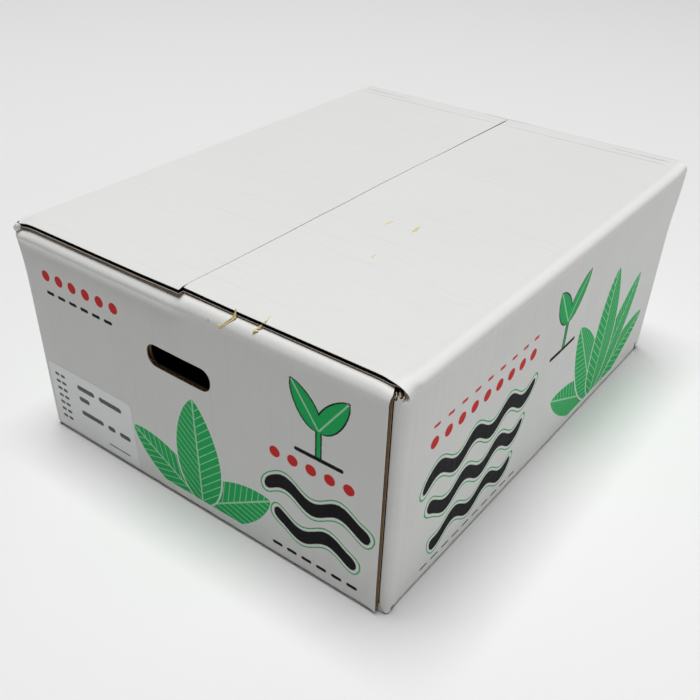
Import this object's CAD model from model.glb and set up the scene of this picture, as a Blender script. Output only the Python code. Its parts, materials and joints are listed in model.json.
"""Looks of a white-faced corrugated carton for melons.

The board is made as on the real carton: flat blanks of three papers, cut while flat and then folded.
A point of a blank is (across the flutes, along the flutes, depth from the outer face), in metres.
"""

import json
import math
from collections import namedtuple

import bmesh
import bpy
import numpy as np
from mathutils import Euler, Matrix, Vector


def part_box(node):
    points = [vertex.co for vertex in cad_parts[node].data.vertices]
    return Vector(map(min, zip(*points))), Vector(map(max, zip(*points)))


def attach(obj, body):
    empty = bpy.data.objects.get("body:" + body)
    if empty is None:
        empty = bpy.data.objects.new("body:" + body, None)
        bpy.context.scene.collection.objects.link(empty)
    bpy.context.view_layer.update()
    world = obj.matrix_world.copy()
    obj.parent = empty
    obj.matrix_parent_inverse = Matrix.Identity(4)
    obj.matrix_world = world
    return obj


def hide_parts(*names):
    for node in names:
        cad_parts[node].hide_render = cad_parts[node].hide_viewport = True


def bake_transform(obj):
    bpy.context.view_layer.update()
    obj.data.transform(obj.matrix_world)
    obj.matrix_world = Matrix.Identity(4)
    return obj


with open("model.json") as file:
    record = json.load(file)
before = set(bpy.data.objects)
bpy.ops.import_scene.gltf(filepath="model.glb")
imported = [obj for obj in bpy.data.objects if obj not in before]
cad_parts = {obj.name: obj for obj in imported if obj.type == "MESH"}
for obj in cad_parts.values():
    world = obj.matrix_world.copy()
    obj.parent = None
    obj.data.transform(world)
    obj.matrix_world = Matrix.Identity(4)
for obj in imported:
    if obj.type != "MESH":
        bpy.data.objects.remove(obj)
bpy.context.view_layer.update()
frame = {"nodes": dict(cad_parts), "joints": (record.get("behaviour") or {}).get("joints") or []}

# The carton's outside, read from the frame
NEAR_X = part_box("end_panel_near")[0].x
FAR_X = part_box("end_panel_far")[1].x
RIGHT_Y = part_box("side_panel_right")[0].y
LEFT_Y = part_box("side_panel_left")[1].y
TOP_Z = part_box("top_outer_flap_right")[1].z
RAW_EDGE_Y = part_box("end_panel_near")[0].y + 0.0015
INNER_TOP_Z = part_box("top_inner_flap_near")[1].z
BOARD = TOP_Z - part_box("top_outer_flap_right")[0].z
END_BOTTOM_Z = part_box("end_panel_near")[0].z
INNER_BOTTOM_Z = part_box("bottom_inner_flap_near")[1].z - BOARD
TAB_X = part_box("glue_tab")[0].x
LENGTH = FAR_X - NEAR_X
WIDTH = LEFT_Y - RIGHT_Y
MM = 0.001
CREASES = {joint["child"]: joint["pos_m"] for joint in frame["joints"]}

# Papers of the board
LINER = 0.46 * MM
MEDIUM = 0.24 * MM
FLUTE_PITCH = 8.8 * MM
FLUTE_COLUMNS = 8
# How far the fluted paper stays back from a cut edge that runs along the flutes
FLUTE_INSET = 2.4 * MM
RAW_EDGE_INSET = 0.5 * MM

# Light
WORLD_LIGHT = 0.03
OVERHEAD_WATTS = 348
SIDE_WATTS = 4.0
FLOOR_WHITE = 0.86
FLOOR_REACH = 6.0

# Folds, measured at the outer face
CORNER_RADIUS = 5.0 * MM
GLUED_CORNER_RADIUS = 9.0 * MM
SIDE_FOLD_RADIUS = 4.6 * MM
END_FOLD_RADII = {"top": 9.0 * MM, "bottom": 4.6 * MM}
FOLD_STEPS = 10
SIDE_FOLD_REACH = 10.0 * MM
END_FOLD_REACH = 10.5 * MM
BLEND_REACH = 2.5 * MM
FINE_REACH = 20 * MM
# How far the outer flaps' board is pressed flat: at the corners, past the end of its fold, and by a cut
HOOK_PINCH = 0.85
CUT_PINCH = 0.25
# Where the flaps' paper is lighter, from its wall's end to past its fold, and how far from the lid's
# far cut the flutes are pressed through
FOLD_LIGHT = (7.0 * MM, 10.0 * MM, 17.0 * MM, 12.5 * MM)
PRESSED_REACH = 36.0 * MM

# How the used board has given, in millimetres: dents as (place, place, depth, reach), and along the
# seam, by share of the length, the left flap's step over the right one and the change in their gap
LID_DENTS = ((-118, -62, 0.5, 24), (36, -96, 0.5, 30), (148, 66, 0.5, 26), (-64, 96, 0.4, 34),
             (96, -28, 0.4, 20))
END_DENTS = ((-80, 70, 0.6, 30), (52, 118, 0.5, 26), (-20, 40, 0.5, 36), (118, 60, 0.5, 30))
SIDE_DENTS = ((-140, 120, 0.6, 34), (-30, 60, 0.6, 40), (90, 110, 0.6, 30), (160, 50, 0.5, 34))
SEAM_LIFT = 0.8 * MM
# The near end's top corners are pushed down, as (x, y, depth, reach), and the glued corner bulges
# under its flap and spreads at its foot, as (x, y, z, amount, reach)
CRUSHED_CORNERS = ((-214, -170.5, 4.4, 9), (-219, 171, 5.2, 10))
CRUSH_FROM = 172
EAR_BULGE = (-213, -170.5, 181, 3.0, 6)
FOOT_FLARE = (-213, -169, 0, 3.0, 8)
# The other near corner is splayed at its top, as the line of its middle and its two reaches, and the
# near fold stands proud under the flaps' cut edges, as (height, reach, amount right, amount left)
SPLAY = (-219, 171, 186, 3.0, 12, 26)
CREST = (177.0, 5.2, 0.8, 3.0)
# The right side's top fold is pressed out and down, as (outward, down, reach in from its face)
SHOULDER = (2.5 * MM, 4.0 * MM, 9.0 * MM)
# How far the top left flap's near cut stands back from its CAD node
LEFT_FLAP_BACK = 1.4 * MM
# Lobes of the face paper at that corner, each a middle, a size and a turn in degrees
CORNER_LOBES = (((-216.2, 167.2, 183.0), (1.5, 2.2, 4.4), 45), ((-217.4, 164.8, 184.4), (1.5, 2.6, 3.4), 0))
LEFT_EDGE_STEP = ((-0.5, 0.1), (-0.2, 0.35), (0.1, 0.1), (0.3, -0.35), (0.5, -0.6))
SEAM_OPENING = ((-0.5, -0.65), (0.15, -0.4), (0.3, 0.5), (0.5, 1.4))

# Set glue that strayed: on the near fold and over its flap's edge as threads, on the lid as drops.
# Threads are points and a radius, drops a middle, a size and a turn in degrees, all in millimetres
FOLD_THREADS = (
    (((-212.6, -45.0, 188.1), (-213.4, -45.2, 185.6), (-214.6, -44.2, 183.0), (-217.0, -41.4, 180.4),
      (-218.9, -38.6, 177.0), (-219.5, -37.2, 175.4)), 0.42),
    (((-213.3, -45.3, 185.9), (-214.2, -46.2, 183.3), (-216.4, -44.2, 181.0), (-218.6, -40.2, 177.8)), 0.36),
    (((-213.2, -66.4, 185.0), (-214.4, -64.8, 183.2), (-216.6, -63.4, 181.6), (-217.4, -63.0, 181.0)), 0.50),
)
LID_THREADS = ((((-212.9, -68.6, 187.8), (-211.0, -68.4, 188.0), (-206.6, -67.4, 188.0)), 0.30),)
FOLD_DROPS = (((-219.3, -37.0, 175.6), (0.6, 1.5, 1.9), 0), ((-215.4, -63.9, 182.0), (1.6, 1.8, 0.4), 0),
              ((-218.9, -27.0, 178.0), (0.35, 1.1, 0.8), 0), ((-214.4, -45.6, 183.0), (0.7, 0.9, 0.5), 0))
LID_DROPS = (((-101.0, -68.0, 188.0), (3.0, 0.8, 0.4), 8), ((-50.5, -45.5, 188.0), (4.0, 1.0, 0.4), -10),
             ((-47.4, -67.0, 188.0), (5.4, 1.3, 0.6), 4))
LABEL_CORNER = 4.0 * MM
# The walls' cuts around the glued corner, by share of its turn: clear of the right flap's ear at the
# top, slanting up at the bottom, and clear of the near end's flaps at both
GLUED_CORNER_CUTS = {
    "top": ((0.01, TOP_Z - 10.2 * MM), (0.72, TOP_Z - 10.2 * MM), (0.74, INNER_TOP_Z - 7.8 * MM)),
    "bottom": ((0.24, 4.8 * MM), (0.26, 1.2 * MM), (0.52, 1.2 * MM), (0.90, INNER_BOTTOM_Z + 4.4 * MM)),
}
SCRAP_DEPTH = 1.3 * MM
DARK_SHARE = 0.22
TAB_TAPER = 10.0 * MM
# The ends' flaps are a little narrower than their folds, and the bottom ones step up past them
FLAP_NARROWING = 2.8 * MM
FLAP_NARROWING_REACH = 8.0 * MM
STEP_START = 4.8 * MM
STEP_END = 10.2 * MM
CELL = 5.0 * MM
CUT_STEP = 0.25 * MM

# Hand holes, as in the end panels
HAND_HOLE_Y = 6.0 * MM
HAND_HOLE_Z = 127.0 * MM
HAND_HOLE_SIZE = (61.0 * MM, 18.0 * MM)
HAND_HOLE_CORNER = 8.1 * MM

# The materials of every piece of board, in this order
FACE, BARE, HOLLOW, CUT = range(4)


# Shader maths

def operator(operation, swapped=False):
    """A method of Signal for an operator, swapped where Python gives the other number first."""
    def worked_out(self, *others):
        numbers = (*others, self) if swapped else (self, *others)
        return self.nodes.add("ShaderNodeMath", {"operation": operation}, dict(enumerate(numbers)))
    return worked_out


class Signal:
    """A value in a node tree, with Python's operators for numbers."""

    def __init__(self, nodes, socket):
        self.nodes = nodes
        self.socket = socket

    __add__ = operator("ADD")
    __sub__ = operator("SUBTRACT")
    __mul__ = operator("MULTIPLY")
    __radd__ = operator("ADD", swapped=True)
    __rsub__ = operator("SUBTRACT", swapped=True)
    __rmul__ = operator("MULTIPLY", swapped=True)
    __truediv__ = operator("DIVIDE")
    __abs__ = operator("ABSOLUTE")
    sin = operator("SINE")
    fract = operator("FRACT")
    floor = operator("FLOOR")
    least = operator("MINIMUM")
    most = operator("MAXIMUM")
    power = operator("POWER")

    def clamped(self):
        return self.nodes.add("ShaderNodeMath", {"operation": "ADD", "use_clamp": True}, {0: self, 1: 0.0})

    def step(self, low, high):
        """0 below low, 1 above high, smooth between. low may be above high."""
        if low > high:
            return 1 - self.step(high, low)
        return self.nodes.add("ShaderNodeMapRange", {"interpolation_type": "SMOOTHSTEP"},
                              {"Value": self, "From Min": low, "From Max": high})


class Nodes:
    """A node tree being built, and the one way to add a node to it."""

    def __init__(self, tree):
        self.tree = tree

    def fill(self, inputs, values):
        for key, value in values.items():
            if isinstance(value, Signal):
                self.tree.links.new(value.socket, inputs[key])
            else:
                inputs[key].default_value = value

    def add(self, kind, settings, values, output=0):
        node = self.tree.nodes.new(kind)
        for name, value in settings.items():
            setattr(node, name, value)
        self.fill(node.inputs, values)
        return Signal(self, node.outputs[output])


class Finish(Nodes):
    """A material being made."""

    def __init__(self, name, roughness, attribute=None):
        self.material = bpy.data.materials.new(name)
        self.material.use_nodes = True
        super().__init__(self.material.node_tree)
        self.shader = self.tree.nodes["Principled BSDF"]
        self.set(Roughness=roughness)
        if attribute:
            self.place = self.add("ShaderNodeAttribute", {"attribute_name": attribute}, {}, "Vector")
        else:
            self.place = self.add("ShaderNodeTexCoord", {}, {}, "Object")

    def axes(self):
        parts = self.add("ShaderNodeSeparateXYZ", {}, {0: self.place})
        return [Signal(self, parts.socket.node.outputs[i]) for i in range(3)]

    def noise(self, scale, detail=3.0, rough=0.5, stretch=None):
        vector = self.place
        if stretch:
            vector = self.add("ShaderNodeVectorMath", {"operation": "MULTIPLY"}, {0: vector, 1: stretch})
        return self.add("ShaderNodeTexNoise", {},
                        {"Vector": vector, "Scale": scale, "Detail": detail, "Roughness": rough})

    def mix(self, factor, first, second):
        """A colour between two, each an (r, g, b) or an earlier colour."""
        def filled(colour):
            return colour if isinstance(colour, Signal) else (*colour, 1.0)
        return self.add("ShaderNodeMix", {"data_type": "RGBA"},
                        {0: factor, 6: filled(first), 7: filled(second)}, 2)

    def bump(self, height, distance, strength=1.0, under=None):
        values = {"Height": height, "Distance": distance, "Strength": strength}
        return self.add("ShaderNodeBump", {}, {**values, "Normal": under} if under else values)

    def set(self, **values):
        self.fill(self.shader.inputs, {name.replace("_", " "): value for name, value in values.items()})
        return self.material


# Colours, linear
WHITE = (0.80, 0.81, 0.79)
WHITE_WORN = (0.67, 0.665, 0.64)
WHITE_FOLD = (0.92, 0.92, 0.91)
WHITE_PRESSED = (0.50, 0.50, 0.49)
LABEL_WHITE = (0.87, 0.885, 0.895)
KRAFT = (0.36, 0.235, 0.125)
KRAFT_DARK = (0.20, 0.125, 0.065)
KRAFT_LIGHT = (0.50, 0.36, 0.22)
GREEN = (0.018, 0.46, 0.122)
GREEN_PALE = (0.40, 0.74, 0.47)
BLACK = (0.006, 0.006, 0.008)
RED = (0.66, 0.030, 0.030)
GLUE = (0.82, 0.65, 0.26)
GLUE_PALE = (0.91, 0.82, 0.48)
CUT_KRAFT = (0.84, 0.77, 0.69)
HOLLOW_KRAFT = (0.030, 0.021, 0.013)

# Spacing of the printed leaves' ribs, and the plain strokes on the label, in millimetres
RIB_PITCH = 7.0
LABEL_STROKES = (((36, 50), (52, 50)), ((62, 50), (84, 50)), ((36, 39), (44, 39)),
                 ((36, 25), (58, 25)), ((68, 25), (72, 25)), ((82, 25), (90, 25)))


def worn_white(finish, flute_axis):
    """The white liner: mottled paper, faint flute lines, grey scuffs. Gives colour, roughness, normal."""
    across = finish.axes()[flute_axis]
    stretch = [6.0, 6.0, 6.0]
    stretch[flute_axis] = 60.0
    mottle = finish.noise(38.0, 4.0, 0.6)
    broad = finish.noise(5.0)
    flute = (across * (2 * math.pi / FLUTE_PITCH)).sin()
    uneven = finish.noise(2.2, 2.0, 0.5, tuple(stretch))
    ridge = flute * uneven.step(0.38, 0.72)
    scuff = finish.noise(260.0, 2.0, 0.7).step(0.66, 0.80) * broad.step(0.50, 0.72)
    tint = (mottle.step(0.35, 0.85) * 0.16 + (1 - broad.step(0.30, 0.70)) * 0.10
            + ridge.step(0.2, 1.0) * 0.14).clamped()
    colour = finish.mix(tint, WHITE, WHITE_WORN)
    colour = finish.mix(scuff * 0.42, colour, (0.42, 0.41, 0.40))
    roughness = 0.46 + mottle * 0.20 + scuff * 0.15
    fibre = finish.noise(900.0, 2.0, 0.6)
    normal = finish.bump(ridge, 0.10 * MM)
    normal = finish.bump(mottle, 0.10 * MM, 0.6, normal)
    normal = finish.bump(fibre, 0.015 * MM, 0.5, normal)
    return colour, roughness, normal


# Printed motifs, as distances in millimetres on a face: negative inside

def turned(x, y, centre, degrees):
    """The point seen from a centre, with its first axis turned by so many degrees."""
    c, s = math.cos(math.radians(degrees)), math.sin(math.radians(degrees))
    dx, dy = x - centre[0], y - centre[1]
    return dx * c + dy * s, dy * c - dx * s


def length_of(x, y):
    return (x * x + y * y).power(0.5)


def stroke(x, y, start, end, radius):
    """A straight stroke with round ends."""
    run = (end[0] - start[0], end[1] - start[1])
    square = run[0] ** 2 + run[1] ** 2
    dx, dy = x - start[0], y - start[1]
    along = ((dx * run[0] + dy * run[1]) * (1 / square)).clamped()
    return length_of(dx - along * run[0], dy - along * run[1]) - radius


def leaf(along, side, length, width):
    """A broad leaf from its foot at 0 to its tip, fullest a third of the way. Gives its edge and veins."""
    share = (along * (1 / length)).clamped()
    half = share.power(0.55) * (1 - share).power(0.75) * (width * 0.86)
    edge = (abs(side) - half).most(0 - along).most(along - length)
    ribs = ((along - abs(side) * 0.9) * (1 / RIB_PITCH)).fract()
    rib = abs(ribs - 0.5) * RIB_PITCH - 0.40
    return edge, (abs(side) - 0.75).least(rib)


def fan(x, y, foot, degrees, spread, count, length, width):
    """Layers of ink for broad leaves that spread from one foot, the middle one over its neighbours."""
    layers = []
    for number in sorted(range(count), key=lambda n: -abs(n - (count - 1) / 2)):
        share = number / (count - 1) - 0.5
        size = 1 - 0.35 * abs(share)
        along, side = turned(x, y, foot, degrees - share * spread)
        edge, veins = leaf(along, side, length * size, width * size)
        layers += [(edge - 1.5, WHITE), (edge, GREEN), (edge.most(veins), GREEN_PALE)]
    return layers


def wave_bands(x, y, start, end, heights, swell, radius):
    """Layers for thick bands that rise and fall, black with a pale gap and a thin green outline."""
    layers = []
    for number, height in enumerate(heights):
        bent = y - height - ((x - start + 9.0 * number) * (2 * math.pi / 46.0)).sin() * swell
        edge = stroke(x, bent, (start + 8 * number, 0), (end - 10 * number, 0), radius) * 0.85
        layers += [(edge - 3.0, GREEN), (edge - 2.0, WHITE), (edge, BLACK)]
    return layers


def row(x, y, start, pitch, count, height, half, radius, colour):
    """A layer of equal round-ended dashes, or of dots where half is 0, in a level row."""
    cell = ((x - start) * (1 / pitch) + 0.5).floor().most(0).least(count - 1)
    along = (abs(x - start - cell * pitch) - half).most(0)
    return (length_of(along, y - height) - radius, colour)


def sprout(x, y, foot, size):
    """Layers for two leaves on a short stem over a ground line, with black outlines."""
    along, side = turned(x, y, foot, 90)
    stem = stroke(x, y, foot, (foot[0], foot[1] + size * 0.45), 1.5)
    lean_x, lean_y = turned(along - size * 0.40, abs(side), (0, 0), 36)
    edge = leaf(lean_x, lean_y, size * 0.74, size * 0.42)[0]
    ground = stroke(x, y, (foot[0] - size * 0.36, foot[1] - 2), (foot[0] + size * 0.36, foot[1] - 2), 1.6)
    shape = stem.least(edge)
    return [(shape - 1.1, BLACK), (shape, GREEN), (edge.most(abs(lean_y) - 0.6), GREEN_PALE), (ground, BLACK)]


# Designs, with x from a face's left end and y from its bottom: layers of ink in order

def side_print(x, y):
    return [
        *fan(x, y, (320, 8), 90, 130, 5, 126, 60),
        *wave_bands(x, y, 42, 178, (92, 62, 32), 5.5, 6.2),
        row(x, y, 44, 16, 9, 124, 0, 4.6, RED),
        row(x, y, 48, 14, 10, 10, 3.2, 1.5, BLACK),
        row(x, y, 44, 16, 9, 138, 2.4, 1.3, RED),
        *sprout(x, y, (226, 104), 56),
    ]


def end_print(x, y):
    return [
        *fan(x, y, (176, 8), 90, 116, 3, 98, 62),
        *wave_bands(x, y, 246, 322, (70, 40), 5.0, 6.0),
        row(x, y, 250, 15, 5, 98, 0, 4.4, RED),
        row(x, y, 250, 13, 6, 14, 3.0, 1.5, BLACK),
        row(x, y, 28, 15, 6, 150, 0, 4.4, RED),
        row(x, y, 30, 13, 6, 136, 3.0, 1.4, BLACK),
        *sprout(x, y, (286, 112), 50),
    ]


def label_print(x, y):
    layers = [row(x, y, 9, 7, 2, 10 + 7 * n, 1.4, 1.4, BLACK) for n in range(7)]
    layers += [(stroke(x, y, start, end, 2.3), BLACK) for start, end in LABEL_STROKES]
    layers.append((stroke(x, y, (64, 7), (88, 7), 0.6), BLACK))
    return layers


def inked(finish, colour, layers):
    """The colour under layers of print, each an edge in millimetres and an ink, with rough edges."""
    soft = (finish.noise(420.0, 2.0, 0.6) - 0.5) * 0.6
    worn = finish.noise(800.0, 2.0, 0.7).step(0.68, 0.86)
    press = 1.0 - worn * 0.25
    for edge, ink in layers:
        colour = finish.mix((edge + soft).step(0.35, -0.35) * press, colour, ink)
    return colour


def printed_white(name, flute_axis, origin, direction, design):
    """The white liner of a wall with its design, laid from an edge of that wall."""
    finish = Finish(name, 0.5)
    colour, roughness, normal = worn_white(finish, flute_axis)
    axes = finish.axes()
    x = (axes[flute_axis] - origin) * (direction / MM)
    y = axes[2] * (1 / MM)
    colour = inked(finish, colour, design(x, y))
    return finish.set(Base_Color=colour, Roughness=roughness, Normal=normal, Specular_IOR_Level=0.06)


def plain_white(name, flute_axis):
    """The white liner of the flaps: lighter in the folds, with flutes pressed through by the far cut."""
    finish = Finish(name, 0.5, "blank")
    colour, roughness, normal = worn_white(finish, flute_axis)
    across, travel, _ = finish.axes()
    fold = travel.step(*FOLD_LIGHT[:2]) * travel.step(*FOLD_LIGHT[2:])
    colour = finish.mix(fold * 0.6, colour, WHITE_FOLD)
    line = (across * (2 * math.pi / FLUTE_PITCH)).sin().step(0.70, 0.97)
    broken = finish.noise(7.0, 3.0, 0.6, (6.0, 1.0, 1.0)).step(0.47, 0.60)
    lid = travel.step(16 * MM, 28 * MM) * across.step(FAR_X - PRESSED_REACH, FAR_X - PRESSED_REACH / 3)
    pressed = line * broken * lid
    colour = finish.mix(pressed * 0.85, colour, WHITE_PRESSED)
    normal = finish.bump(1 - pressed, 0.25 * MM, 1.0, normal)
    return finish.set(Base_Color=colour, Roughness=roughness, Normal=normal)


def plain_kraft(name, colour):
    """Brown paper of one colour: inside the flutes, where hardly any light comes, or at a cut."""
    return Finish(name, 0.95).set(Base_Color=(*colour, 1.0))


def label_paper(name, low, size):
    """Smooth white label paper with its design. low and size are its corner and its extent."""
    finish = Finish(name, 0.34)
    axes = finish.axes()
    x = ((low[0] + size[0]) - axes[1]) * (1 / MM)
    y = (axes[2] - low[1]) * (1 / MM)
    tone = finish.noise(24.0)
    colour = finish.mix(tone.step(0.35, 0.75) * 0.5, LABEL_WHITE, (0.80, 0.81, 0.80))
    stain = finish.noise(60.0, 2.0, 0.5).step(0.45, 0.70) * y.step(22, 4) * x.step(44, 20)
    colour = finish.mix(stain * 0.35, colour, (0.70, 0.66, 0.36))
    colour = inked(finish, colour, label_print(x, y))
    wrinkle = finish.noise(30.0, 2.0, 0.4, (1.0, 0.5, 2.2))
    return finish.set(Base_Color=colour, Roughness=0.30 + tone * 0.12,
                      Normal=finish.bump(wrinkle, 0.5 * MM, 0.6))


def kraft(name, attribute=None):
    """Bare brown paper with fibres and slow changes of tone."""
    finish = Finish(name, 0.85, attribute)
    tone = finish.noise(14.0, 4.0, 0.6)
    fibres = finish.noise(240.0, 3.0, 0.7, (1.0, 1.0, 0.18))
    flecks = finish.noise(1500.0, 1.0, 0.5)
    colour = finish.mix(tone.step(0.2, 0.8) * 0.7, KRAFT, KRAFT_DARK)
    colour = finish.mix(fibres.step(0.45, 0.8) * 0.55, colour, KRAFT_LIGHT)
    colour = finish.mix(flecks.step(0.66, 0.78) * 0.35, colour, KRAFT_DARK)
    normal = finish.bump(fibres, 0.06 * MM)
    return finish.set(Base_Color=colour, Roughness=0.72 + tone * 0.2, Normal=normal)


def set_glue(name):
    """Hot-melt glue once set: pale yellow, waxy and a little glossy."""
    finish = Finish(name, 0.3)
    tone = finish.noise(160.0, 3.0, 0.6)
    colour = finish.mix(tone.step(0.35, 0.7), GLUE, GLUE_PALE)
    return finish.set(Base_Color=colour, Roughness=0.25 + tone * 0.2,
                      Normal=finish.bump(tone, 0.2 * MM))


# Board making

class FoldPath:
    """The outer face's line in one plane: straight runs joined by quarter turns to the right."""

    def __init__(self, start, heading, runs, radii):
        place, heading, self.parts, self.knots = np.array(start, float), np.array(heading, float), [], [0.0]
        for length, radius in zip(runs, (*radii, None)):
            right = np.array((heading[1], -heading[0]))
            self.parts.append((self.knots[-1], place, heading, right, None))
            self.knots.append(self.knots[-1] + length)
            place = place + heading * length
            if radius is not None:
                centre = place + right * radius
                self.parts.append((self.knots[-1], centre, heading, right, radius))
                self.knots.append(self.knots[-1] + radius * math.pi / 2)
                place, heading = centre + heading * radius, right

    def at(self, travel, depth):
        """Points at a travel along the path, and at a depth to its right."""
        points = np.zeros((len(travel), 2))
        number = np.clip(np.searchsorted(self.knots, travel, side="right") - 1, 0, len(self.parts) - 1)
        for index, (begin, base, heading, right, radius) in enumerate(self.parts):
            chosen = number == index
            t, d = (travel[chosen] - begin)[:, None], depth[chosen][:, None]
            if radius is None:
                points[chosen] = base + heading * t + right * d
            else:
                angle = t / radius
                outward = heading * np.sin(angle) - right * np.cos(angle)
                points[chosen] = base + outward * (radius - d)
        return points


def spaced(start, end, cell):
    return list(np.linspace(start, end, max(2, round((end - start) / cell) + 1)))


def stops(*ranges):
    """Rising stops from (start, end, cell) ranges that follow each other."""
    found = []
    for start, end, cell in ranges:
        found += [value for value in spaced(start, end, cell) if not found or value > found[-1] + 1e-7]
    return np.array(found)


def scene_object(name, data, *materials):
    for material in materials:
        data.materials.append(material)
    made = bpy.data.objects.new(name, data)
    bpy.context.scene.collection.objects.link(made)
    return made


def faced(name, points, faces, *materials):
    data = bpy.data.meshes.new(name)
    data.from_pydata(points, [], faces)
    return scene_object(name, data, *materials)


def shaped(name, solid, *materials):
    """The object of a bmesh, which is used up."""
    data = bpy.data.meshes.new(name)
    solid.to_mesh(data)
    solid.free()
    return scene_object(name, data, *materials)


def baked(made):
    """The plain mesh that an object's modifiers or bevel make of it."""
    return bpy.data.meshes.new_from_object(made.evaluated_get(bpy.context.evaluated_depsgraph_get()))


def applied(made):
    data = baked(made)
    made.modifiers.clear()
    old, made.data = made.data, data
    bpy.data.meshes.remove(old)
    return made


def smoothed(made, outward=False, sharp=False):
    """Smooth shading, with the faces turned outwards and the edges kept sharp if asked."""
    if outward:
        solid = bmesh.new()
        solid.from_mesh(made.data)
        bmesh.ops.recalc_face_normals(solid, faces=solid.faces)
        solid.to_mesh(made.data)
        solid.free()
    made.data.shade_smooth()
    if sharp:
        made.data.set_sharp_from_angle(angle=math.radians(35))
    return made


def hang(made, body, replaced=(), blend=None):
    """Hangs a piece on a body, or bends it from there to another, and says what it is made of."""
    if blend:
        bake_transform(made)
    else:
        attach(made, body)
    if replaced:
        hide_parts(*replaced)


def across_crease(flap, axis, inward):
    """A blend from the carton onto a flap: the flap, and where across its crease it starts and ends."""
    away = [0.0, 0.0, BLEND_REACH]
    away[axis] = inward * BLEND_REACH
    return (flap, [c - a for c, a in zip(CREASES[flap], away)], [c + a for c, a in zip(CREASES[flap], away)])


def flat_liner(name, across, share, low_depth, materials, outer):
    """One paper of a blank: a closed sheet on a grid, whose rows are shares from 0 to 1.

    It is dark on the side of the flutes. The outer paper's cut edge is white, the inner one's light.
    """
    columns, rows = len(across), len(share)
    grid = np.array([(u, v, d) for d in (low_depth, low_depth + LINER) for v in share for u in across])
    layer = columns * rows

    def corner(d, r, c):
        return d * layer + r * columns + c

    faces, kinds = [], []
    for r in range(rows - 1):
        for c in range(columns - 1):
            quad = [corner(0, r, c), corner(0, r, c + 1), corner(0, r + 1, c + 1), corner(0, r + 1, c)]
            faces += [quad, [i + layer for i in reversed(quad)]]
            kinds += [FACE, HOLLOW] if outer else [HOLLOW, BARE]
    rim = ([(0, c) for c in range(columns)] + [(r, columns - 1) for r in range(1, rows)]
           + [(rows - 1, c) for c in range(columns - 2, -1, -1)] + [(r, 0) for r in range(rows - 2, 0, -1)])
    for (r0, c0), (r1, c1) in zip(rim, rim[1:] + rim[:1]):
        faces.append([corner(1, r0, c0), corner(1, r1, c1), corner(0, r1, c1), corner(0, r0, c0)])
        kinds.append(FACE if outer else CUT)
    made = faced(name, grid, faces, *materials)
    made.data.polygons.foreach_set("material_index", kinds)
    return made


def fluting_tree():
    """Geometry nodes for the wavy middle paper: a grid that rises and falls across the flutes."""
    tree = bpy.data.node_groups.new("fluted medium", "GeometryNodeTree")
    tree.interface.new_socket("Geometry", in_out="OUTPUT", socket_type="NodeSocketGeometry")
    for name, kind in (("Across", "Float"), ("Pitch", "Float"), ("Start", "Float"),
                       ("Wave height", "Float"), ("Columns", "Int"), ("Rows", "Int"),
                       ("Paper", "Material")):
        tree.interface.new_socket(name, in_out="INPUT", socket_type="NodeSocket" + kind)

    nodes = Nodes(tree)
    sockets = tree.nodes.new("NodeGroupInput").outputs
    across, pitch, start, height, columns, rows, paper = (Signal(nodes, socket) for socket in sockets[:7])
    grid = nodes.add("GeometryNodeMeshGrid", {}, {"Size X": across, "Size Y": 1.0, "Vertices X": columns,
                                                  "Vertices Y": rows})
    x = nodes.add("ShaderNodeSeparateXYZ", {}, {0: nodes.add("GeometryNodeInputPosition", {}, {})})
    wave = ((x + (across * 0.5 + start)) / pitch * (2 * math.pi)).sin() * height
    offset = nodes.add("ShaderNodeCombineXYZ", {}, {2: wave})
    waved = nodes.add("GeometryNodeSetPosition", {}, {"Geometry": grid, "Offset": offset})
    real = nodes.add("GeometryNodeRealizeInstances", {}, {0: waved})
    papered = nodes.add("GeometryNodeSetMaterial", {}, {"Geometry": real, "Material": paper})
    tree.links.new(papered.socket, tree.nodes.new("NodeGroupOutput").inputs[0])
    return tree


def flat_fluting(name, across, share, insets, tree, materials):
    """The wavy middle paper of a blank, from its Geometry Nodes tree. Its rows are shares, as above."""
    made = faced(name, [], [])
    start, end = across[0] + insets[0], across[-1] - insets[1]
    values = {
        "Across": end - start, "Pitch": FLUTE_PITCH, "Start": start,
        "Wave height": (BOARD - 2 * LINER - MEDIUM) / 2 - 0.02 * MM,
        "Columns": max(3, round((end - start) / FLUTE_PITCH * FLUTE_COLUMNS)), "Rows": len(share),
        "Paper": materials[HOLLOW]}
    modifier = made.modifiers.new("flutes", "NODES")
    modifier.node_group = tree
    for item in tree.interface.items_tree:
        if item.in_out == "INPUT":
            modifier[item.identifier] = values[item.name]
    solid = made.modifiers.new("paper thickness", "SOLIDIFY")
    solid.thickness = MEDIUM
    solid.offset = 0.0
    applied(made)
    made.data.materials.append(materials[BARE])
    for polygon in made.data.polygons:
        if abs(polygon.normal.y) > 0.7:
            polygon.material_index = 1
    co = points_of(made)
    row = (co[:, 1] + 0.5) * (len(share) - 1)
    co[:, 0] += (start + end) / 2
    co[:, 1] = np.interp(row, range(len(share)), share)
    co[:, 2] += BOARD / 2
    return with_points(made, co)


def points_of(made):
    co = np.zeros(len(made.data.vertices) * 3)
    made.data.vertices.foreach_get("co", co)
    return co.reshape(-1, 3)


def with_points(made, co):
    made.data.vertices.foreach_set("co", co.ravel())
    made.data.update()
    return made


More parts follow.
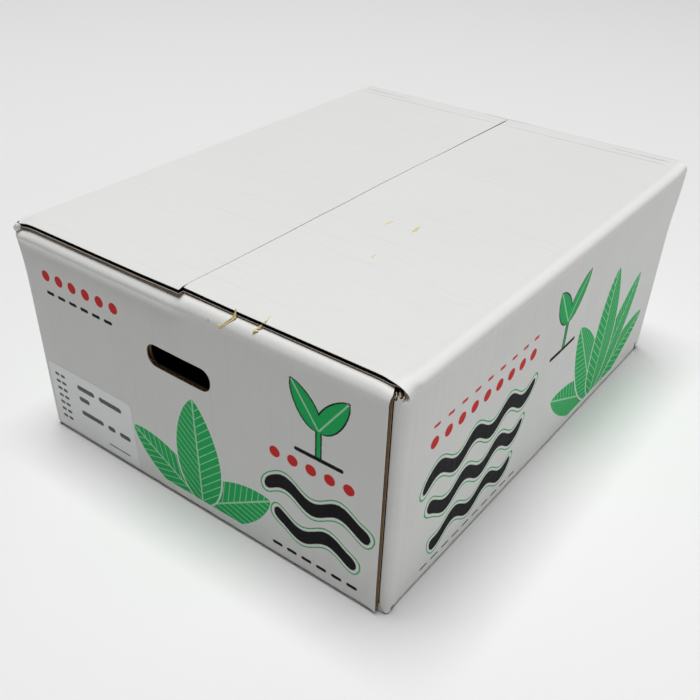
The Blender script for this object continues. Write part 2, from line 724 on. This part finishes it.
def punch(made, hole, material):
    """Cuts a slot with round ends through a flat blank, whose rows are shares of its height.

    hole is its middle as (across, share), its size in metres and the blank's height there.
    """
    (u, v), (width, height), blank_height = hole
    solid = bmesh.new()
    bmesh.ops.create_cube(solid, size=1.0)
    bmesh.ops.scale(solid, vec=(width, height, 4 * BOARD), verts=solid.verts)
    upright = [edge for edge in solid.edges if abs(edge.verts[0].co.z - edge.verts[1].co.z) > BOARD]
    bmesh.ops.bevel(solid, geom=upright, offset=HAND_HOLE_CORNER, segments=10, affect="EDGES", profile=0.5)
    bmesh.ops.scale(solid, vec=(1, 1 / blank_height, 1), verts=solid.verts)
    bmesh.ops.translate(solid, vec=(u, v, 0), verts=solid.verts)
    cutter = shaped("punch", solid, material)
    cut = made.modifiers.new("punched", "BOOLEAN")
    cut.operation = "DIFFERENCE"
    cut.object = cutter
    applied(made)
    bpy.data.objects.remove(cutter)
    return made


def joined(name, pieces):
    """Several objects as one, under a new name."""
    if len(pieces) > 1:
        with bpy.context.temp_override(active_object=pieces[0], selected_editable_objects=pieces):
            bpy.ops.object.join()
    pieces[0].name = name
    pieces[0].data.name = name
    return pieces[0]


def folded(made, along, place):
    """Keeps each point's place on the flat blank, then folds the blank into the carton."""
    flat = points_of(made)
    flat[:, 1] = along(flat[:, 0], flat[:, 1])
    blank = made.data.attributes.new("blank", "FLOAT_VECTOR", "POINT")
    blank.data.foreach_set("vector", flat.ravel())
    with_points(made, settled(place(*flat.T)))
    return smoothed(made, outward=True, sharp=True)


def bulge(a, b):
    """1 in the middle of a panel and 0 at its edges, with a and b from -1 to 1 across it."""
    return np.clip(1 - a ** 2, 0, 1) * np.clip(1 - b ** 2, 0, 1)


def soft(reach, *offsets):
    """1 at a place, falling smoothly to nothing two reaches away."""
    return np.exp(-sum(offset ** 2 for offset in offsets) / reach ** 2)


def gather(a, b, dents):
    """The sum of soft round dents, each (a, b, depth, reach) in millimetres."""
    return sum(depth * MM * soft(reach, a / MM - at_a, b / MM - at_b) for at_a, at_b, depth, reach in dents)


def waviness(a, b):
    """Slow unevenness of a board, about 0.3 mm either way."""
    return 0.11 * MM * (np.sin(a * 47 + b * 21) + np.sin(b * 63 - a * 29 + 1.3) + np.sin(a * 88 + 2.1))


def settled(co):
    """Moves points the way a used carton's board has given: walls bowed, lid wavy, seam lifted."""
    co = co.copy()
    x, y, z = co[:, 0].copy(), co[:, 1].copy(), co[:, 2].copy()
    level = 2 * z / TOP_Z - 1
    end = np.clip((np.abs(x) / (LENGTH / 2) - 0.8) / 0.2, 0, 1)
    side = np.clip((np.abs(y) / (WIDTH / 2) - 0.8) / 0.2, 0, 1)
    end_bulge, side_bulge = bulge(2 * y / WIDTH, level), bulge(2 * x / LENGTH, level)
    co[:, 0] += np.sign(x) * end * end_bulge * (1.4 * MM + waviness(y, z) - gather(y, z, END_DENTS))
    co[:, 1] += np.sign(y) * side * side_bulge * (1.6 * MM + waviness(x, z) - gather(x, z, SIDE_DENTS))
    lid = ramp(z, TOP_Z - 14 * MM, TOP_Z - 9 * MM) * bulge(2 * x / LENGTH, 2 * y / WIDTH)
    co[:, 2] += lid * (waviness(x, y) - gather(x, y, LID_DENTS))
    x_mm, y_mm, z_mm = x / MM, y / MM, z / MM
    for at_x, at_y, drop, reach in CRUSHED_CORNERS:
        near = soft(reach, x_mm - at_x, y_mm - at_y)
        co[:, 2] -= drop * MM * near * np.clip((z_mm - CRUSH_FROM) / (TOP_Z / MM - CRUSH_FROM), 0, 1)
    for (at_x, at_y, at_z, amount, reach), way in ((EAR_BULGE, (0, -1)), (FOOT_FLARE, (-0.7, -0.7))):
        near = soft(reach, x_mm - at_x, y_mm - at_y, z_mm - at_z)
        co[:, 0] += near * way[0] * amount * MM
        co[:, 1] += near * way[1] * amount * MM
    at_x, at_y, at_z, amount, reach, drop_reach = SPLAY
    near = soft(reach, x_mm - at_x, y_mm - at_y) * soft(drop_reach, z_mm - at_z)
    co[:, 0] -= near * 0.6 * amount * MM
    co[:, 1] += near * 0.8 * amount * MM
    height, reach, on_right, on_left = CREST
    proud = on_right + (on_left - on_right) * ramp(y, -10 * MM, 10 * MM)
    at_end = ramp(-x, LENGTH / 2 - 11 * MM, LENGTH / 2 - 6 * MM)
    within = at_end * ramp(WIDTH / 2 - np.abs(y), 2 * MM, 12 * MM)
    co[:, 0] -= within * soft(reach, z_mm - height) * proud * MM
    out, down, reach = SHOULDER
    pressed, inside = ramp(x - NEAR_X, 7 * MM, 24 * MM), y - RIGHT_Y
    co[:, 1] -= out * pressed * ramp(z, TOP_Z - 70 * MM, TOP_Z - 8 * MM) * (1 - ramp(inside, 0, 4 * reach))
    sag = down * pressed * (1 - 0.6 * ramp(x, FAR_X - 26 * MM, FAR_X - 3 * MM))
    co[:, 2] -= sag * ramp(z, TOP_Z - 16 * MM, TOP_Z - 4 * MM) * soft(reach, inside)
    outer = ramp(z, INNER_TOP_Z + 0.2 * MM, INNER_TOP_Z + 0.8 * MM)
    near_seam = soft(26 * MM, y) * outer
    at_seam = np.exp(-np.abs(y) / (9 * MM)) * outer
    left = (y > 0).astype(float)
    co[:, 2] += near_seam * (0.65 + 0.35 * np.sin(x * 19 + 1)) * SEAM_LIFT
    co[:, 2] += at_seam * left * np.interp(x / LENGTH, *zip(*LEFT_EDGE_STEP)) * MM
    co[:, 1] += at_seam * (left - 0.5) * np.interp(x / LENGTH, *zip(*SEAM_OPENING)) * MM
    return co


# Places of the blanks on the carton

def make_board(name, body, across, share, along, place, papers, layers, hole=None, blend=None,
               insets=(0, 0), stands_for=()):
    """One piece of board: the papers asked for, punched flat, folded and hung on its body."""
    sheets = []
    if "face" in layers:
        sheets.append(flat_liner(name, across, share, 0.0, papers, True))
    if "flutes" in layers:
        sheets.append(flat_fluting(name, across, share, insets, FLUTES, papers))
    if "lining" in layers:
        sheets.append(flat_liner(name, across, share, BOARD - LINER, papers, False))
    if hole:
        sheets = [punch(sheet, hole, papers[BARE]) for sheet in sheets]
    made = folded(joined(name, sheets), along, place)
    hang(made, body, stands_for, blend)
    return made


class Edge:
    """The height of the walls' upper or lower cut all along the belt, level between its marks."""

    def __init__(self, rest):
        self.marks = [(0.0, rest)]
        self.rest = rest

    def step_to(self, travel, height):
        self.marks += [(travel, self.marks[-1][1]), (travel + CUT_STEP, height)]

    def cover(self, start, end, height):
        """Runs at this height from start to end, and at the slots' height after it."""
        self.step_to(start, height)
        self.step_to(end - CUT_STEP, self.rest)

    def at(self, travel):
        return np.interp(travel, *zip(*self.marks))


def darkened(made, travel):
    """Leaves the face dark past a travel along the belt, in the gap behind the raw edge."""
    flat = np.zeros(len(made.data.vertices) * 3)
    made.data.attributes["blank"].data.foreach_get("vector", flat)
    across = flat[::3]
    for polygon in made.data.polygons:
        if across[list(polygon.vertices)].min() > travel:
            polygon.material_index = HOLLOW


def make_walls(faces, bare, gap, cut):
    """The belt of four walls, one sheet that starts at the raw edge and ends in the glue tab."""
    radii = [CORNER_RADIUS] * 3 + [GLUED_CORNER_RADIUS]
    tab_low, tab_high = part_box("glue_tab")
    runs = [LEFT_Y - CORNER_RADIUS - RAW_EDGE_Y, LENGTH - 2 * CORNER_RADIUS, WIDTH - 2 * CORNER_RADIUS,
            FAR_X - CORNER_RADIUS - (TAB_X + GLUED_CORNER_RADIUS),
            tab_high.y - RIGHT_Y - GLUED_CORNER_RADIUS]
    path = FoldPath((NEAR_X, RAW_EDGE_Y), (0, 1), runs, radii)
    k = path.knots

    def left(x):
        return k[2] + x - (NEAR_X + CORNER_RADIUS)

    def right(x):
        return k[6] + (FAR_X - CORNER_RADIUS) - x

    upper, lower = Edge(TOP_Z - SIDE_FOLD_RADIUS - 0.2 * MM), Edge(SIDE_FOLD_RADIUS + 0.2 * MM)
    end_low, end_high = END_BOTTOM_Z + END_FOLD_REACH, INNER_TOP_Z - END_FOLD_REACH
    for edge, level, end_height, side_height in ((upper, "top", end_high, TOP_Z - SIDE_FOLD_REACH),
                                                 (lower, "bottom", end_low, SIDE_FOLD_REACH)):
        edge.marks = [(k[0], end_height)]
        edge.step_to(k[1], edge.rest)
        low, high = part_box(f"{level}_outer_flap_left")
        edge.cover(max(k[2], left(low.x)), min(k[3], left(high.x)), side_height)
        edge.cover(k[4], k[5], end_height)
        low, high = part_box(f"{level}_outer_flap_right")
        edge.cover(max(k[6], right(high.x)), min(k[7], right(low.x)), side_height)
        tab_height = tab_high.z if level == "top" else tab_low.z
        edge.marks += [(k[7] + (k[8] - k[7]) * part, height) for part, height in GLUED_CORNER_CUTS[level]]
        edge.step_to(k[8], tab_height)
        edge.marks.append((k[9], tab_height + (TAB_TAPER if level == "bottom" else -TAB_TAPER)))

    def along(across, share):
        low = lower.at(across)
        return low + share * (upper.at(across) - low)

    def place(across, height, depth):
        """Closes the corner of the near end and the left side at its top, like the near end's fold."""
        radius = END_FOLD_RADII["top"]
        rise = np.clip(height - (INNER_TOP_Z - radius), 0, radius * 0.8)
        in_corner = (across > k[1] + CUT_STEP) * (1 - ramp(across, k[1] + CUT_STEP, k[2] + 1 * MM))
        bend = (radius - np.sqrt(radius ** 2 - rise ** 2)) * in_corner
        near_corner = (across > k[1] + CUT_STEP) * (across < k[2] + 2 * MM)
        pinch = HOOK_PINCH * near_corner * ramp(height, INNER_TOP_Z - 5 * MM, INNER_TOP_Z)
        return np.column_stack((path.at(across, depth * (1 - pinch) + bend), height))

    def columns(start, end):
        """Stops along a stretch of the belt: close in the corners and at each step of the cuts."""
        found = {start, end}
        for number, (low, high) in enumerate(zip(k, k[1:])):
            cell = CELL if number % 2 == 0 else radii[number // 2] * math.pi / 2 / FOLD_STEPS
            found.update(np.clip(spaced(low, high, cell), start, end))
        found.update(np.clip([travel for edge in (upper, lower) for travel, _ in edge.marks], start, end))
        rising = np.array(sorted(found))
        return rising[np.append(True, np.diff(rising) > 0.05 * MM)]

    def behind(across, height, depth):
        return place(across, height, depth + SCRAP_DEPTH)

    def under_cut(across, share):
        low = 0.5 * MM
        return low + share * (lower.at(across) - 0.3 * MM - low)

    blank_height = end_high - end_low
    hole_share = (HAND_HOLE_Z - end_low) / blank_height
    near_hole = ((HAND_HOLE_Y - RAW_EDGE_Y, hole_share), HAND_HOLE_SIZE, blank_height)
    far_hole = ((k[4] + LEFT_Y - CORNER_RADIUS - HAND_HOLE_Y, hole_share), HAND_HOLE_SIZE, blank_height)
    corner_bit = 1.0 * MM
    walls = {
        "near_end": (k[0], k[1] - corner_bit, near_hole, (RAW_EDGE_INSET, 0), ("end_panel_near",)),
        "left_side": (k[1] - corner_bit, k[4] + corner_bit, None, (0, 0), ("side_panel_left",)),
        "far_end": (k[4] + corner_bit, k[5] - corner_bit, far_hole, (0, 0), ("end_panel_far",)),
        "right_side": (k[5] - corner_bit, k[9], None, (0, FLUTE_INSET), ("side_panel_right", "glue_tab")),
    }
    share = stops((0, 0.87, CELL / TOP_Z), (0.87, 1, CELL / TOP_Z / 3))
    coarse = np.unique(np.concatenate((share[::3], share[-14:])))
    for wall, (start, end, hole, insets, nodes) in walls.items():
        across = columns(start, end)
        papers = (faces[wall], bare, bare, bare if wall == "near_end" else cut)
        if wall == "right_side":
            papers = (faces[wall], bare, gap, cut)
        printed_face = make_board(wall + "_printed_face", "carton", across, share, along, place, papers,
                                  ("face",), hole, stands_for=nodes)
        if wall == "right_side":
            darkened(printed_face, k[8] - DARK_SHARE * (k[8] - k[7]))
        make_board(wall + "_flutes_and_lining", "carton", across, coarse, along, place, papers,
                   ("flutes", "lining"), hole, insets=insets)
    turn = k[8] - k[7]
    scrap_papers = (faces["right_side"], bare, faces["right_side"], cut)
    make_board("scrap_at_glued_corner", "carton", np.linspace(k[7] + 0.3 * turn, k[8], 9),
               stops((0, 1, 0.34)), under_cut, behind, scrap_papers, ("face",))


# One of the four sides: where its outer face is, and where its wall's fold and its flap reach
Side = namedtuple("Side", "axis face inward fold flap")


def ramp(value, low, high):
    """0 below low, 1 above high, smooth between."""
    share = np.clip((value - low) / (high - low), 0, 1)
    return share * share * (3 - 2 * share)


def make_flap(node, side, level, edge_z, radius, reach, lift, body, papers, tip, insets):
    """A flap with its fold and the strip of wall above or below it, from the wall to the flap's tip.

    lift is how far a bottom flap steps up.
    """
    up = 1 if level == "top" else -1
    path = FoldPath((0, 0), (0, 1), [reach - radius, tip - radius], [radius])
    k = path.knots
    narrow = side.axis == 0

    def place(across, travel, depth):
        if narrow:
            squeeze = FLAP_NARROWING * ramp(travel, k[1] + 0.4 * (k[2] - k[1]) * (up > 0), k[2] + 3 * MM)
            low_part = np.clip(1 - (across - side.fold[0]) / FLAP_NARROWING_REACH, 0, 1)
            high_part = np.clip(1 - (side.fold[1] - across) / FLAP_NARROWING_REACH, 0, 1)
            across = across + squeeze * (low_part - high_part)
        else:
            past = np.maximum(side.fold[0] - across, across - side.fold[1])
            pinch = HOOK_PINCH * ramp(past, -2 * MM, 0.5 * MM) * (1 - ramp(travel, k[2], k[2] + 7 * MM))
            to_cut = np.minimum(across - side.flap[0], side.flap[1] - across)
            droop = CUT_PINCH * (1 - ramp(to_cut, 0, 4 * MM)) * (1 - pinch)
            depth = depth * (1 - pinch) * (1 - droop) + droop * BOARD
            trim = np.maximum(past, 0) * (1 - ramp(travel, k[2] - 1 * MM, k[2] + 3 * MM))
            across = across + trim * np.where(across < 0, 1, -1)
        profile = path.at(travel, depth)
        co = np.zeros((len(across), 3))
        co[:, side.axis] = side.face + side.inward * profile[:, 0]
        co[:, 1 - side.axis] = across
        co[:, 2] = edge_z - up * reach + up * profile[:, 1]
        inside = side.inward * (co[:, side.axis] - side.face)
        co[:, 2] += lift * ramp(inside, STEP_START, STEP_END)
        return co

    def along(across, share):
        travel = share * k[3]
        outside = ((across < side.fold[0] - CUT_STEP / 2) | (across > side.fold[1] + CUT_STEP / 2))
        return np.where(outside & (travel < k[1]), k[1] - 0.05 * MM * (1 - travel / k[1]), travel)

    span = side.fold if narrow else side.flap
    inner = [value for value in side.fold if span[0] < value < span[1]]
    found = {*spaced(*span, CELL), *spaced(span[0], span[0] + FINE_REACH, CELL / 3),
             *spaced(span[1] - FINE_REACH, span[1], CELL / 3)}
    for value in inner:
        found = {other for other in found if abs(other - value) > 1 * MM}
        found.update((value - CUT_STEP, value + CUT_STEP))
    across = np.array(sorted(found))
    across = across[np.append(True, np.diff(across) > 0.3 * MM)]
    travel = stops((k[0], k[1], reach / 4), (k[1], k[2], (k[2] - k[1]) / FOLD_STEPS),
                   (k[2], k[2] + FINE_REACH, CELL / 3), (k[2] + FINE_REACH, k[3], CELL))
    share = travel / k[3]
    fine = travel <= k[2] + FINE_REACH
    coarse = np.unique(np.concatenate((share[fine], share[~fine][::6], share[-1:])))
    blend = across_crease(body, side.axis, side.inward) if level == "top" else None
    make_board(node + "_board", "carton", across, share, along, place, papers, ("face", "lining"),
               blend=blend, stands_for=(node,))
    make_board(node + "_board_flutes", "carton", across, coarse, along, place, papers, ("flutes",),
               blend=blend, insets=insets)


def make_flaps(face, bare, hollow, cut):
    """All eight flaps, each following its own CAD node's ends and tip."""
    r = CORNER_RADIUS
    sides = {
        "right": (1, RIGHT_Y, 1, (TAB_X + GLUED_CORNER_RADIUS, FAR_X - r)),
        "left": (1, LEFT_Y, -1, (NEAR_X + r, FAR_X - r)),
        "near": (0, NEAR_X, 1, (RAW_EDGE_Y, LEFT_Y - r)),
        "far": (0, FAR_X, -1, (RIGHT_Y + r, LEFT_Y - r)),
    }
    for level in ("top", "bottom"):
        for word, (axis, face_at, inward, fold) in sides.items():
            outer = axis == 1
            node = f"{level}_{'outer' if outer else 'inner'}_flap_{word}"
            low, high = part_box(node)
            ear = node == "top_outer_flap_right"
            if ear:
                fold = (low.x, fold[1])
            back = LEFT_FLAP_BACK if node == "top_outer_flap_left" else 0
            side = Side(axis, face_at, inward, fold, (low[1 - axis] + back, high[1 - axis]))
            tip = (high if inward > 0 else low)[axis]
            edge_z = high.z if level == "top" else low.z
            radius, reach = ((SIDE_FOLD_RADIUS, SIDE_FOLD_REACH) if outer
                             else (END_FOLD_RADII[level], END_FOLD_REACH))
            lift = INNER_BOTTOM_Z - END_BOTTOM_Z if level == "bottom" and not outer else 0
            insets = (RAW_EDGE_INSET if word == "near" else FLUTE_INSET, FLUTE_INSET)
            papers = (face, bare, hollow if outer else bare, bare if word == "near" else cut)
            make_flap(node, side, level, edge_z, radius, reach, lift, word + "_flap", papers,
                      abs(tip - face_at), insets)


def make_label():
    """The paper label low on the near end."""
    low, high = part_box("label")
    size = (high.y - low.y, high.z - low.z)
    paper = label_paper("label paper", (low.y, low.z), size)
    solid = bmesh.new()
    across, up = spaced(low.y, high.y, CELL / 2), spaced(low.z, high.z, CELL / 2)
    bmesh.ops.create_grid(solid, x_segments=len(across) - 1, y_segments=len(up) - 1, size=0.5)
    middle = ((high.y + low.y) / 2, (high.z + low.z) / 2)
    for vertex in solid.verts:
        y, z = vertex.co.x * size[0], vertex.co.y * size[1]
        past_y, past_z = (max(abs(v) - (extent / 2 - LABEL_CORNER), 0)
                          for v, extent in ((y, size[0]), (z, size[1])))
        past = math.hypot(past_y, past_z)
        if past > LABEL_CORNER:
            pull = 1 - LABEL_CORNER / past
            y -= math.copysign(past_y * pull, y)
            z -= math.copysign(past_z * pull, z)
        vertex.co = (NEAR_X - 0.15 * MM, y + middle[0], z + middle[1])
    made = shaped("paper_label", solid, paper)
    with_points(made, settled(points_of(made)))
    thick = made.modifiers.new("paper", "SOLIDIFY")
    thick.thickness = 0.12 * MM
    thick.offset = 0.0
    hang(smoothed(applied(made), sharp=True), "carton", ("label",))


def settled_piece(name, body, pieces, blend=None):
    """Blobs or threads of set glue, or slivers of paper, as one piece on a body."""
    made = joined(name, pieces)
    with_points(made, settled(points_of(made)))
    hang(smoothed(made), body, blend=blend)


def thread(points, radius, material):
    """A thread of glue through points, thick at its foot and thin at its tip."""
    curve = bpy.data.curves.new("thread", "CURVE")
    curve.dimensions = "3D"
    curve.bevel_depth = radius * MM
    curve.bevel_resolution = 3
    curve.use_fill_caps = True
    line = curve.splines.new("NURBS")
    line.points.add(len(points) - 1)
    line.order_u = 3
    line.use_endpoint_u = True
    for number, (point, place) in enumerate(zip(line.points, points)):
        point.co = (*(value * MM for value in place), 1)
        point.radius = 1.25 - 0.25 * math.cos(number * 2.4) - 0.1 * number
    bent = scene_object("thread", curve, material)
    data = baked(bent)
    bpy.data.objects.remove(bent)
    bpy.data.curves.remove(curve)
    return scene_object("thread", data)


def drop(middle, size, degrees, material):
    """A flattened drop of glue, a little uneven."""
    solid = bmesh.new()
    bmesh.ops.create_icosphere(solid, subdivisions=3, radius=1.0)
    for vertex in solid.verts:
        a, b, h = vertex.co
        uneven = 1 + 0.18 * math.sin(5 * math.atan2(b, a) + middle[0])
        a, b = turned(a * size[0] * uneven, b * size[1] * uneven, (0, 0), -degrees)
        vertex.co = [(at + past) * MM for at, past in zip(middle, (a, b, h * size[2]))]
    return shaped("drop", solid, material)


def make_stray_glue(glue):
    """Threads and drops that strayed from the beads over the near fold and the right flap."""
    on_fold = [thread(*entry, glue) for entry in FOLD_THREADS] + [drop(*entry, glue) for entry in FOLD_DROPS]
    on_lid = [thread(*entry, glue) for entry in LID_THREADS] + [drop(*entry, glue) for entry in LID_DROPS]
    settled_piece("glue_on_near_fold", "carton", on_fold, blend=across_crease("near_flap", 0, 1))
    settled_piece("glue_on_right_flap", "right_flap", on_lid)


def make_torn_fibres(light, dark):
    """Slivers of paper that stand up where the glued corner is torn, under the right flap's ear."""
    spread = np.random.default_rng(7)
    slivers = []
    for number in range(18):
        angle = math.radians(8 + 76 * number / 17)
        radius = GLUED_CORNER_RADIUS / MM - spread.uniform(0.4, 3.4)
        x = TAB_X / MM + 9 - radius * math.sin(angle)
        y = RIGHT_Y / MM + 9 - radius * math.cos(angle)
        place = np.array((x, y, spread.uniform(173.5, 175.5)))
        points = [place]
        for _ in range(3):
            place = place + (spread.uniform(-1.1, 0.9), spread.uniform(-1.1, 1.3), spread.uniform(1.2, 2.8))
            points.append(place)
        slivers.append(thread(points, spread.uniform(0.22, 0.46), dark if number % 2 else light))
    settled_piece("torn_fibres_at_glued_corner", "carton", slivers)


def make_glue_beads(glue):
    """Each bead of the frame as a lumpy strip with a flat back."""
    rows, ring = 70, 9
    corners = [(r * ring + c, r * ring + (c + 1) % ring) for r in range(rows) for c in range(ring)]
    faces = [(a, b, b + ring, a + ring) for a, b in corners[:-ring]]
    faces += [tuple(range(ring)), tuple(range(rows * ring - 1, (rows - 1) * ring - 1, -1))]
    for node in [name for name in frame["nodes"] if name.startswith("glue_bead")]:
        low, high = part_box(node)
        grid = []
        for r in range(rows):
            share = r / (rows - 1)
            x = low.x + share * (high.x - low.x)
            taper = min(1.0, math.sqrt(min(share, 1 - share) * 24 + 0.02))
            lump = 0.72 + 0.16 * math.sin(r * 1.7 + low.y * 300) + 0.12 * math.sin(r * 0.61 + low.y * 90)
            half = (high.y - low.y) / 2 * taper * lump
            for c in range(ring):
                angle = math.pi * c / (ring - 1)
                grid.append((x, (low.y + high.y) / 2 - half * math.cos(angle),
                             low.z + (high.z - low.z) * math.sin(angle) * taper * (0.55 + 0.45 * lump)))
        made = smoothed(faced(node + "_set_glue", grid, faces, glue), outward=True)
        body = "carton" if "bottom" in node else ("near_flap" if "near" in node else "far_flap")
        hang(made, body, (node,))


# The stage

def make_stage():
    pale = Finish("pale floor", 0.9).set(Base_Color=(FLOOR_WHITE, FLOOR_WHITE, FLOOR_WHITE, 1))
    corners = [(x * FLOOR_REACH, y * FLOOR_REACH, 0) for x, y in ((-1, -1), (1, -1), (1, 1), (-1, 1))]
    faced("floor", corners, [(0, 1, 2, 3)], pale)


def add_light(name, place, target, size, power):
    light = bpy.data.lights.new(name, "AREA")
    light.shape = "RECTANGLE"
    light.size, light.size_y = size
    light.energy = power
    lamp = scene_object(name, light)
    lamp.location = place
    lamp.rotation_euler = (Vector(target) - Vector(place)).to_track_quat("-Z", "Y").to_euler()


def make_lights():
    world = bpy.data.worlds.new("studio")
    bpy.context.scene.world = world
    world.use_nodes = True
    world.node_tree.nodes["Background"].inputs["Color"].default_value = (1, 1, 1, 1)
    world.node_tree.nodes["Background"].inputs["Strength"].default_value = WORLD_LIGHT
    add_light("overhead", (0.0, 0.4, 6.0), (0, 0, 0.1), (3.0, 3.0), OVERHEAD_WATTS)
    add_light("right side", (0.25, -1.6, 0.45), (0, 0, 0.1), (1.0, 0.8), SIDE_WATTS)
    bpy.context.scene.view_settings.view_transform = "Standard"


def make_camera():
    """The photograph's viewpoint, from a camera fitted to the carton's corners."""
    lens = bpy.data.cameras.new("camera")
    lens.sensor_width = 36.0
    lens.lens = 44.285
    lens.shift_x = 0.0290
    lens.shift_y = 0.0873
    camera = scene_object("camera", lens)
    camera.location = (-0.54077, -0.36897, 0.45363)
    camera.rotation_euler = Euler([math.radians(a) for a in (53.2055, -0.8824, -51.9680)])
    bpy.context.scene.camera = camera


bare_kraft = kraft("bare kraft", "blank")
flute_kraft = plain_kraft("kraft in the flutes", HOLLOW_KRAFT)
cut_kraft = plain_kraft("cut kraft edge", CUT_KRAFT)
printed = {
    "right_side": printed_white("right side print", 0, NEAR_X, 1, side_print),
    "left_side": printed_white("left side print", 0, FAR_X, -1, side_print),
    "near_end": printed_white("near end print", 1, LEFT_Y, -1, end_print),
    "far_end": printed_white("far end print", 1, RIGHT_Y, 1, end_print),
}
FLUTES = fluting_tree()
make_walls(printed, bare_kraft, flute_kraft, cut_kraft)
flap_white = plain_white("white flap", 0)
make_flaps(flap_white, bare_kraft, flute_kraft, cut_kraft)
make_label()
glue = set_glue("set glue")
make_glue_beads(glue)
make_stray_glue(glue)
make_torn_fibres(cut_kraft, bare_kraft)
# The face paper that is pushed out in lobes at the top of the splayed corner
settled_piece("paper_lobe_at_left_corner", "carton", [drop(*lobe, flap_white) for lobe in CORNER_LOBES])
make_stage()
make_lights()
make_camera()
